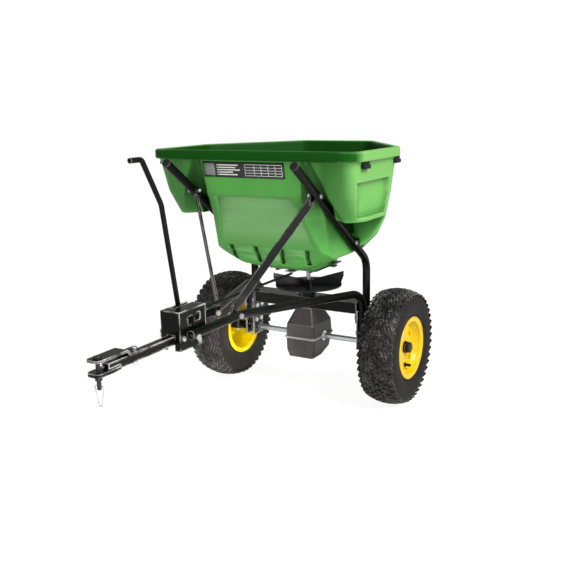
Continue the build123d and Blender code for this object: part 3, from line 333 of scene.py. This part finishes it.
peg_outline = [(0.0, -0.006), (0.008, -0.009), (0.0125, -0.009), (0.0125, 0.000), (0.009, 0.002),
               (0.009, 0.009), (0.0, 0.009)]
peg_half, peg_sunk, peg_z = 0.017, 0.002, 0.693
pegs = bmesh.new()
peg_spots = [((side, axle_y - reach, peg_z), (-side, 0, 0)) for side in (1, -1) for reach in (0.262, 0.063)]
for start, way in peg_spots:
    spot = front_skin.ray_cast(Vector(start), Vector(way))[0]
    out, along = -Vector(way).normalized(), Vector(way).normalized().cross(Vector((0, 0, 1)))
    ends = [[pegs.verts.new(spot + out * (proud - peg_sunk) + along * side + Vector((0, 0, rise)))
             for proud, rise in peg_outline] for side in (-peg_half, peg_half)]
    for i in range(len(peg_outline)):
        j = (i + 1) % len(peg_outline)
        pegs.faces.new((ends[0][i], ends[0][j], ends[1][j], ends[1][i]))
    pegs.faces.new(ends[0])
    pegs.faces.new(ends[1][::-1])
bmesh.ops.recalc_face_normals(pegs, faces=pegs.faces)
rim_pegs = place_skin("rim_pegs", pegs)
easing = rim_pegs.modifiers.new("moulded_edges", "BEVEL")
easing.width = 0.0012
easing.segments = 2
settle(rim_pegs)
dress(rim_pegs, black_abs)
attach(rim_pegs, "frame")


# FRAME
# Bent steel tubes, folded brackets and flat braces, welded and bolted, and powder-coated gloss black.
def finish_node(name, material):
    """Give a CAD node this material."""
    solid[name].data.materials.clear()
    solid[name].data.materials.append(material)


def edge_turn(tree, reach):
    """A normal rounded over the edges in reach, and its cosine to the plain normal, which drops at an edge."""
    rounded = add(tree, "ShaderNodeBevel", {"samples": 6}, Radius=reach)
    plain = add(tree, "ShaderNodeNewGeometry").outputs["Normal"]
    cosine = add(tree, "ShaderNodeVectorMath", {"operation": "DOT_PRODUCT"}, i0=rounded, i1=plain)
    return rounded, cosine.outputs["Value"]


# Powder coat: baked on, glossy with slight orange peel, thin and rubbed to grey steel along the edges, which
# also carry painted highlights. The folded plates get wider and whiter rubbed edges and painted highlights than
# the tubes.
tubes = (
    "left_hopper_tube", "right_hopper_tube", "left_frame_tube", "right_frame_tube", "left_brace",
    "right_brace", "cross_channel", "flow_lever", "axle_collars", "left_hub", "right_hub", "outlet_plate",
    "linkage_rod",
)
plates = ("control_bracket", "drawbar", "hitch_strap", "left_axle_bracket", "right_axle_bracket")
for coat_name, rub_and_highlight_reach, bare_and_highlight, names in (
    ("black_powder_coat", 0.003, "#b4b1ac", tubes), ("rubbed_highlit_powder_coat", 0.006, "#e4e1dc", plates),
):
    powder_coat, tree, shader, place = new_material(coat_name, IOR=1.5, Specular_IOR_Level=0.12)
    dust = add(tree, "ShaderNodeTexNoise", Vector=place, Scale=1000 / 40, Detail=5.0)
    coat = add(tree, "ShaderNodeMix", {"data_type": "RGBA"}, i0=dust, i6=linear("#050505"),
               i7=linear("#0f0e0d"))
    turn = edge_turn(tree, rub_and_highlight_reach)[1]
    # Pale edges: rubbed to bare steel, and painted highlights
    edge = add(tree, "ShaderNodeMapRange", Value=turn, From_Min=0.97, From_Max=0.82)
    worn_and_highlit = add(tree, "ShaderNodeMath", {"operation": "MULTIPLY"}, i0=edge, i1=add(
        tree, "ShaderNodeMapRange", Value=dust, From_Min=0.36, From_Max=0.56, To_Max=0.9))
    coat = add(tree, "ShaderNodeMix", {"data_type": "RGBA"}, i0=worn_and_highlit, i6=coat, i7=linear(bare_and_highlight))
    tree.links.new(coat.outputs[2], shader.inputs["Base Color"])
    tree.links.new(add(tree, "ShaderNodeMapRange", Value=dust, To_Min=0.16, To_Max=0.32).outputs[0],
                   shader.inputs["Roughness"])
    peel = add(tree, "ShaderNodeTexNoise", Vector=place, Scale=1000 / 3, Detail=1.0)
    soft = add(tree, "ShaderNodeBevel", {"samples": 6}, Radius=0.0015)
    bump = add(tree, "ShaderNodeBump", Height=peel, Normal=soft, Distance=0.0002, Strength=0.35)
    tree.links.new(bump.outputs[0], shader.inputs["Normal"])
    for name in names:
        finish_node(name, powder_coat)
for name in ("left_tube_plug", "right_tube_plug"):
    finish_node(name, black_abs)


# BOLTS AND SHAFTS
# Drawn and cold-headed steel, zinc plated: the frame's bolts, axle, gears and their bushes, spinner's shaft,
# agitator, gate and the hitch's wire bail.
# Zinc plate: bright bluish grey, faintly mottled, with a dull film where it has weathered.
zinc, tree, shader, place = new_material("zinc_plated_steel", Metallic=1.0)
mottle = add(tree, "ShaderNodeTexNoise", Vector=place, Scale=1000 / 12, Detail=4.0)
plate = add(tree, "ShaderNodeMix", {"data_type": "RGBA"}, i0=mottle, i6=linear("#b9bcbe"), i7=linear("#eceeee"))
tree.links.new(plate.outputs[2], shader.inputs["Base Color"])
tree.links.new(add(tree, "ShaderNodeMapRange", Value=mottle, To_Min=0.22, To_Max=0.48).outputs[0],
               shader.inputs["Roughness"])
rounded = add(tree, "ShaderNodeBevel", {"samples": 6}, Radius=0.0006)
bump = add(tree, "ShaderNodeBump", Height=mottle, Normal=rounded, Distance=0.0002, Strength=0.4)
tree.links.new(bump.outputs[0], shader.inputs["Normal"])
for name in (
    "axle", "agitator", "spinner_shaft", "shutoff_gate", "drive_pin", "hitch_bail", "bracket_bolts",
    "brace_bolts", "hopper_bolts", "drawbar_bolts", "gearbox_bolts", "outlet_screws", "lever_pivot_bolt",
    "ring_gear", "pinion_gear", "left_gearbox_bush", "right_gearbox_bush",
):
    finish_node(name, zinc)


# HITCH PIN
# A dropped pin through strap and tongue, with a stop collar. It is turned from bar and left black.
# Blackened steel: oil-quenched, dark with a dull metal sheen and paler where it rubs.
black_steel, tree, shader, place = new_material("oil_blackened_steel", Metallic=1.0)
rub = add(tree, "ShaderNodeTexNoise", Vector=place, Scale=1000 / 8, Detail=4.0)
tint = add(tree, "ShaderNodeMix", {"data_type": "RGBA"}, i0=rub, i6=linear("#1f1e1d"), i7=linear("#5b5855"))
tree.links.new(tint.outputs[2], shader.inputs["Base Color"])
tree.links.new(add(tree, "ShaderNodeMapRange", Value=rub, To_Min=0.35, To_Max=0.55).outputs[0],
               shader.inputs["Roughness"])
finish_node("hitch_pin", black_steel)


# GEARBOX
# Two moulded halves bolted together round the axle, with a narrow flange along their parting line that stops
# short of the axle's bushes.
# Glass-filled nylon: moulded charcoal grey, satin, with paler fibre streaks and pale painted highlights along
# the edges.
filled_nylon, tree, shader, place = new_material("glass_filled_nylon", IOR=1.53, Specular_IOR_Level=0.4)
streak = add(tree, "ShaderNodeTexNoise", Vector=add(tree, "ShaderNodeMapping", Vector=place, Scale=(1, 1, 0.3)),
             Scale=1000 / 18, Detail=5.0)
tint = add(tree, "ShaderNodeMix", {"data_type": "RGBA"}, i0=streak, i6=linear("#201f1e"), i7=linear("#3b3937"))
rounded, turn = edge_turn(tree, 0.004)
# Painted highlights along the gearbox's edges
edge = add(tree, "ShaderNodeMapRange", Value=turn, From_Min=0.985, From_Max=0.90, To_Max=0.85)
tint = add(tree, "ShaderNodeMix", {"data_type": "RGBA"}, i0=edge, i6=tint, i7=linear("#d2cfca"))
tree.links.new(tint.outputs[2], shader.inputs["Base Color"])
tree.links.new(add(tree, "ShaderNodeMapRange", Value=streak, To_Min=0.35, To_Max=0.5).outputs[0],
               shader.inputs["Roughness"])
grain = add(tree, "ShaderNodeTexNoise", Vector=place, Scale=1000 / 1.6, Detail=2.0)
bump = add(tree, "ShaderNodeBump", Height=grain, Normal=rounded, Distance=0.0002, Strength=0.5)
tree.links.new(bump.outputs[0], shader.inputs["Normal"])
for name in ("gearbox_upper", "gearbox_lower"):
    finish_node(name, filled_nylon)
for name in ("left_axle_bush", "right_axle_bush", "shaft_bush"):
    finish_node(name, black_abs)

axle_z = 0.165
flange_half_x, flange_half_y, flange_corner, flange_proud = 0.048, 0.060, 0.008, 0.0035
bush_low, bush_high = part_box("left_gearbox_bush")
bush_clearance = 0.0015
flange_gap = (bush_high[1] - bush_low[1]) / 2 + bush_clearance


def flange_arc(way, proud, rise):
    """Points along the front (way -1) or back (way 1) of the gearbox's outline, grown by proud, at a height."""
    corner = flange_corner + proud
    arc = [(flange_half_x + proud, axle_y + way * flange_gap, rise)]
    for quarter, side in enumerate((1, -1)):
        for step in range(5):
            angle = (quarter + step / 4) * pi / 2
            arc.append((side * (flange_half_x - flange_corner) + corner * cos(angle),
                        axle_y + way * (flange_half_y - flange_corner + corner * sin(angle)), rise))
    return arc + [(-flange_half_x - proud, axle_y + way * flange_gap, rise)]


# Outwards and upwards, with eased edges and a fine groove where the halves meet
flange_eased = flange_proud - 0.0008
flange_section = [
    (-0.003, -0.003), (flange_eased, -0.003), (flange_proud, -0.002), (flange_proud, -0.0004),
    (flange_eased, 0.0), (flange_proud, 0.0004), (flange_proud, 0.002), (flange_eased, 0.003), (-0.003, 0.003),
]
flange = bmesh.new()
for way in (-1, 1):
    arcs = [[flange.verts.new(spot) for spot in flange_arc(way, proud, axle_z + rise)]
            for proud, rise in flange_section]
    for i, lower in enumerate(arcs):
        upper = arcs[(i + 1) % len(arcs)]
        for j in range(1, len(lower)):
            flange.faces.new((lower[j - 1], lower[j], upper[j], upper[j - 1]))
    for end in (0, -1):
        flange.faces.new([arc[end] for arc in arcs])
bmesh.ops.recalc_face_normals(flange, faces=flange.faces)
gearbox_flange = place_skin("gearbox_flange", flange)
dress(gearbox_flange, filled_nylon, smooth=False)
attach(gearbox_flange, "frame")


# SPINNER
# A moulded fan with four vanes that throws the seed. It is pressed on the upright shaft.
finish_node("spinner", black_abs)


# WHEELS
# Air tyres on two-piece pressed rims. The tyre is a moulded carcass with rows of small blocks over the crown.
wheel_x = 0.279
# Half of the carcass's outside in millimetres, out from its middle and radius, then the inside of the whole
tyre_half = [
    (36.0, 78.0), (40.5, 78.5), (41.5, 84.0), (43.0, 90.0), (46.5, 93.5), (47.0, 96.5), (49.5, 101.0),
    (51.8, 110.0), (52.8, 121.0), (52.6, 131.0), (51.0, 140.0), (47.5, 147.5), (42.0, 152.0), (33.0, 156.0),
    (22.0, 158.6), (11.0, 159.8),
]
tyre_profile = tyre_half + [(0.0, 160.0)] + [(-x, r) for x, r in reversed(tyre_half)]
tyre_profile += [(-30.0, 84.0), (-44.0, 112.0), (-43.0, 138.0), (-20.0, 150.0), (20.0, 150.0), (43.0, 138.0),
                 (44.0, 112.0), (30.0, 84.0)]

# Tread: rows of seats round the crown, every row half a block on, each with a skewed block tipped to the bow
tread = bpy.data.node_groups.new("tread_blocks", "GeometryNodeTree")
tread.interface.new_socket("Carcass", in_out="INPUT", socket_type="NodeSocketGeometry")
tread.interface.new_socket("Rows", in_out="INPUT", socket_type="NodeSocketInt")
tread.interface.new_socket("Blocks in a row", in_out="INPUT", socket_type="NodeSocketInt")
for size in ("Crown radius", "Crown bow", "Row pitch", "Block width", "Block length", "Block height", "Skew"):
    tread.interface.new_socket(size, in_out="INPUT", socket_type="NodeSocketFloat")
tread.interface.new_socket("Rubber", in_out="INPUT", socket_type="NodeSocketMaterial")
tread.interface.new_socket("Tyre", in_out="OUTPUT", socket_type="NodeSocketGeometry")
given = add(tread, "NodeGroupInput").outputs
math = "ShaderNodeMath"
index = add(tread, "GeometryNodeInputIndex")
total = add(tread, math, {"operation": "MULTIPLY"}, i0=given["Rows"], i1=given["Blocks in a row"])
row = add(tread, math, {"operation": "FLOOR"}, i0=add(
    tread, math, {"operation": "DIVIDE"}, i0=index, i1=given["Blocks in a row"]))
half_step = add(tread, math, {"operation": "MULTIPLY"}, i0=row, i1=0.5)
turns = add(tread, math, {"operation": "DIVIDE"}, i0=add(
    tread, math, {"operation": "ADD"}, i0=index, i1=half_step), i1=given["Blocks in a row"])
angle = add(tread, math, {"operation": "MULTIPLY"}, i0=turns, i1=2 * pi)
middle_row = add(tread, math, {"operation": "MULTIPLY"}, i0=add(
    tread, math, {"operation": "SUBTRACT"}, i0=given["Rows"], i1=1.0), i1=0.5)
offset = add(tread, math, {"operation": "MULTIPLY"}, i0=add(
    tread, math, {"operation": "SUBTRACT"}, i0=row, i1=middle_row), i1=given["Row pitch"])
bow = add(tread, math, {"operation": "MULTIPLY"}, i0=offset, i1=given["Crown bow"])
radius = add(tread, math, {"operation": "SUBTRACT"}, i0=given["Crown radius"], i1=add(
    tread, math, {"operation": "MULTIPLY"}, i0=offset, i1=bow))
back = add(tread, math, {"operation": "MULTIPLY"}, i0=radius, i1=add(
    tread, math, {"operation": "MULTIPLY"}, i0=add(tread, math, {"operation": "SINE"}, i0=angle), i1=-1.0))
rise = add(tread, math, {"operation": "MULTIPLY"}, i0=radius, i1=add(
    tread, math, {"operation": "COSINE"}, i0=angle))
seats = add(tread, "GeometryNodePoints", Count=total, Position=add(
    tread, "ShaderNodeCombineXYZ", X=offset, Y=back, Z=rise))
lean = add(tread, math, {"operation": "MULTIPLY"}, i0=bow, i1=2.0)
skew = add(tread, math, {"operation": "MULTIPLY"}, i0=given["Skew"], i1=add(
    tread, math, {"operation": "SIGN"}, i0=offset))
tipped = add(tread, "FunctionNodeEulerToRotation", Euler=add(tread, "ShaderNodeCombineXYZ", Y=lean, Z=skew))
wound = add(tread, "FunctionNodeEulerToRotation", Euler=add(tread, "ShaderNodeCombineXYZ", X=angle))
facing = add(tread, "FunctionNodeRotateRotation", {"rotation_space": "GLOBAL"}, Rotation=tipped,
             Rotate_By=wound)
block = add(tread, "GeometryNodeMeshCone", Vertices=4, Radius_Top=0.56, Radius_Bottom=0.7071, Depth=1.0)
block = add(tread, "GeometryNodeTransform", Geometry=block, Rotation=(0, 0, pi / 4))
block = add(tread, "GeometryNodeTransform", Geometry=block, Scale=add(
    tread, "ShaderNodeCombineXYZ", X=given["Block width"], Y=given["Block length"], Z=given["Block height"]))
blocks = add(tread, "GeometryNodeRealizeInstances", Geometry=add(
    tread, "GeometryNodeInstanceOnPoints", Points=seats, Instance=block, Rotation=facing))
joined = add(tread, "GeometryNodeJoinGeometry")
tread.links.new(given["Carcass"], joined.inputs[0])
tread.links.new(blocks.outputs[0], joined.inputs[0])
rubbered = add(tread, "GeometryNodeSetMaterial", Geometry=joined, Material=given["Rubber"])
add(tread, "NodeGroupOutput", Tyre=rubbered)

# Tyre rubber: moulded, nearly black and dull, dusted grey-brown on the sidewall. Painted shade makes it black
# in the grooves between the blocks, and painted glints make the blocks' edges pale grey.
rubber, tree, shader, place = new_material("moulded_tyre_rubber", IOR=1.52)
dust = add(tree, "ShaderNodeTexNoise", Vector=place, Scale=1000 / 22, Detail=6.0, Roughness=0.65)
off_axle = add(tree, "ShaderNodeMapping", Vector=place, Location=(0, -axle_y, -axle_z), Scale=(0, 1, 1))
distance = add(tree, "ShaderNodeVectorMath", {"operation": "LENGTH"}, i0=off_axle).outputs["Value"]
wall_share = add(tree, "ShaderNodeMapRange", Value=distance, From_Min=0.150, From_Max=0.138)
dusty = add(tree, "ShaderNodeMath", {"operation": "MULTIPLY"}, i0=wall_share, i1=dust)
# Painted shade: black in the grooves between the blocks
groove_shade = add(tree, "ShaderNodeAmbientOcclusion", {"samples": 8}, Distance=0.006).outputs["AO"]
outside_groove_shade = add(tree, "ShaderNodeMapRange", Value=groove_shade, From_Min=0.6, From_Max=0.95)
# Painted glints: the blocks' edges are painted pale grey
edge = add(tree, "ShaderNodeMapRange", Value=edge_turn(tree, 0.002)[1], From_Min=0.97, From_Max=0.85)
for share in (add(tree, "ShaderNodeMapRange", Value=wall_share, To_Min=1.0, To_Max=0.0),
              add(tree, "ShaderNodeMapRange", Value=dust, From_Min=0.46, From_Max=0.60, To_Max=0.45)):
    edge = add(tree, "ShaderNodeMath", {"operation": "MULTIPLY"}, i0=edge, i1=share)
tint = linear("#020202")
for share, tone in ((outside_groove_shade, "#151311"), (wall_share, "#0b0a09"), (dusty, "#211e1a"), (edge, "#c9c5bf")):
    tint = add(tree, "ShaderNodeMix", {"data_type": "RGBA"}, i0=share, i6=tint, i7=linear(tone))
tree.links.new(tint.outputs[2], shader.inputs["Base Color"])
tree.links.new(add(tree, "ShaderNodeMapRange", Value=wall_share, To_Min=0.42, To_Max=0.75).outputs[0],
               shader.inputs["Roughness"])
tree.links.new(add(tree, "ShaderNodeMapRange", Value=wall_share, To_Min=0.3, To_Max=0.2).outputs[0],
               shader.inputs["Specular IOR Level"])
tree.links.new(add(tree, "ShaderNodeBump", Height=dust, Distance=0.0008, Strength=0.6).outputs[0],
               shader.inputs["Normal"])

for side, body, sign in (("left", "left_wheel", 1), ("right", "axle", -1)):
    skin = bmesh.new()
    ring = [skin.verts.new((x / 1000, 0, r / 1000)) for x, r in tyre_profile]
    edges = [skin.edges.new((ring[i - 1], ring[i])) for i in range(len(ring))]
    bmesh.ops.spin(skin, geom=ring + edges, cent=(0, 0, 0), axis=(1, 0, 0), angle=2 * pi, steps=108)
    bmesh.ops.remove_doubles(skin, verts=skin.verts, dist=1e-5)
    bmesh.ops.recalc_face_normals(skin, faces=skin.faces)
    for face in skin.faces:
        face.smooth = True
    tyre = place_skin(side + "_tyre_tread", skin)
    moulded = tyre.modifiers.new("tread", "NODES")
    moulded.node_group = tread
    sizes = {
        "Rows": 8, "Blocks in a row": 46, "Crown radius": 0.1598, "Crown bow": 4.9, "Row pitch": 0.0130,
        "Block width": 0.0102, "Block length": 0.0155, "Block height": 0.0044, "Skew": 0.40 * sign,
        "Rubber": rubber,
    }
    for socket in tread.interface.items_tree:
        if socket.name in sizes:
            moulded[socket.identifier] = sizes[socket.name]
    settle(tyre)
    tyre.data.transform(Matrix.Translation((sign * wheel_x, axle_y, axle_z)))
    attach(tyre, body)
    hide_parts(side + "_tyre")

# Yellow enamel: stoved on pressed steel, glossy, with a little orange peel and dust in the dish.
enamel, tree, shader, place = new_material("yellow_stoved_enamel", IOR=1.52, Specular_IOR_Level=0.2)
dust = add(tree, "ShaderNodeTexNoise", Vector=place, Scale=1000 / 30, Detail=5.0)
tint = add(tree, "ShaderNodeMix", {"data_type": "RGBA"}, i0=dust, i6=linear("#bf9b00"), i7=linear("#d8b800"))
tree.links.new(tint.outputs[2], shader.inputs["Base Color"])
tree.links.new(add(tree, "ShaderNodeMapRange", Value=dust, To_Min=0.18, To_Max=0.38).outputs[0],
               shader.inputs["Roughness"])
rounded = add(tree, "ShaderNodeBevel", {"samples": 6}, Radius=0.0015)
peel = add(tree, "ShaderNodeTexNoise", Vector=place, Scale=1000 / 4, Detail=1.0)
bump = add(tree, "ShaderNodeBump", Height=peel, Normal=rounded, Distance=0.0002, Strength=0.3)
tree.links.new(bump.outputs[0], shader.inputs["Normal"])
for side in ("left", "right"):
    for piece in ("_rim_outer", "_rim_inner", "_rim_bolts"):
        finish_node(side + piece, enamel)
for name in ("left_hub_bushes", "left_axle_cap", "right_axle_cap", "left_valve", "right_valve"):
    finish_node(name, black_abs)


# STAGE
# A pale floor that keeps the shadow and a white surround. Soft lamps stand on the machine's left and ahead of
# it, and one narrow lamp shines into the far wheel's dish.
surround = bpy.data.worlds.new("white_surround")
bpy.context.scene.world = surround
surround.use_nodes = True
tree = surround.node_tree
rays = add(tree, "ShaderNodeLightPath")
level = add(tree, "ShaderNodeMapRange", Value=rays.outputs["Is Camera Ray"], To_Min=0.42, To_Max=1.0)
tree.nodes["Background"].inputs["Color"].default_value = (1, 1, 1, 1)
tree.links.new(level.outputs["Result"], tree.nodes["Background"].inputs["Strength"])

floor_half = 6
floor_mesh = bpy.data.meshes.new("floor")
floor_mesh.from_pydata([(x * floor_half, y * floor_half, 0) for x, y in ((-1, -1), (1, -1), (1, 1), (-1, 1))],
                       [], [(0, 1, 2, 3)])
floor = place_piece("floor", floor_mesh)
# Paper: matt and white, with a glow that only the camera sees, so that shadows stay pale.
paper, tree, shader, place = new_material("white_paper", Roughness=0.9, Base_Color=(0.9, 0.9, 0.9, 1))
glow = add(tree, "ShaderNodeEmission", Color=(1, 1, 1, 1), Strength=1.27)
rays = add(tree, "ShaderNodeLightPath")
share = add(tree, "ShaderNodeMath", {"operation": "MULTIPLY"}, i0=rays.outputs["Is Camera Ray"], i1=0.7)
blend = add(tree, "ShaderNodeMixShader", i0=share, i1=shader, i2=glow)
tree.links.new(blend.outputs[0], tree.nodes["Material Output"].inputs["Surface"])
floor_mesh.materials.append(paper)


def lamp(name, place, target, size, power, fan=180):
    """Square soft lamp aimed at a point, whose light fans out by so many degrees."""
    light = bpy.data.lights.new(name, "AREA")
    light.size = size
    light.spread = radians(fan)
    light.energy = power
    lamp_object = bpy.data.objects.new(name, light)
    lamp_object.location = place
    lamp_object.rotation_euler = (Vector(target) - Vector(place)).to_track_quat("-Z", "Y").to_euler()
    bpy.context.scene.collection.objects.link(lamp_object)


hopper_foot, gearbox_top = (0, 0.2, 0.4), (0, 0.3, 0.25)
far_dish = (-0.28, axle_y, axle_z + 0.02)
lamp("key_lamp", (2.6, -0.5, 2.4), hopper_foot, size=1.3, power=138)
lamp("fill_lamp", (-0.6, -3.0, 1.8), hopper_foot, size=2.0, power=22)
lamp("low_lamp", (2.4, -1.7, 0.45), gearbox_top, size=1.0, power=12)
lamp("far_wheel_lamp", (1.7, -1.5, 0.42), far_dish, size=0.25, power=0.8, fan=5)

camera = bpy.data.cameras.new("camera")
camera.lens = 50.79
camera.sensor_width = 36
# Fitted to the photo by both wheels, the tubes and the hopper's rim
eye_place = (1.1091, -1.6760, 0.8444)
turn, tilt, roll = radians(30.502), radians(12.788), radians(-1.141)
toward = Vector((sin(turn) * cos(tilt), -cos(turn) * cos(tilt), sin(tilt)))
level_right = Vector((cos(turn), sin(turn), 0))
right = cos(roll) * level_right + sin(roll) * toward.cross(level_right)
up = toward.cross(right)
eye = bpy.data.objects.new("camera", camera)
eye.matrix_world = Matrix.Translation(eye_place) @ Matrix((right, up, toward)).transposed().to_4x4()
bpy.context.scene.collection.objects.link(eye)
bpy.context.scene.camera = eye
bpy.context.scene.view_settings.view_transform = "Standard"
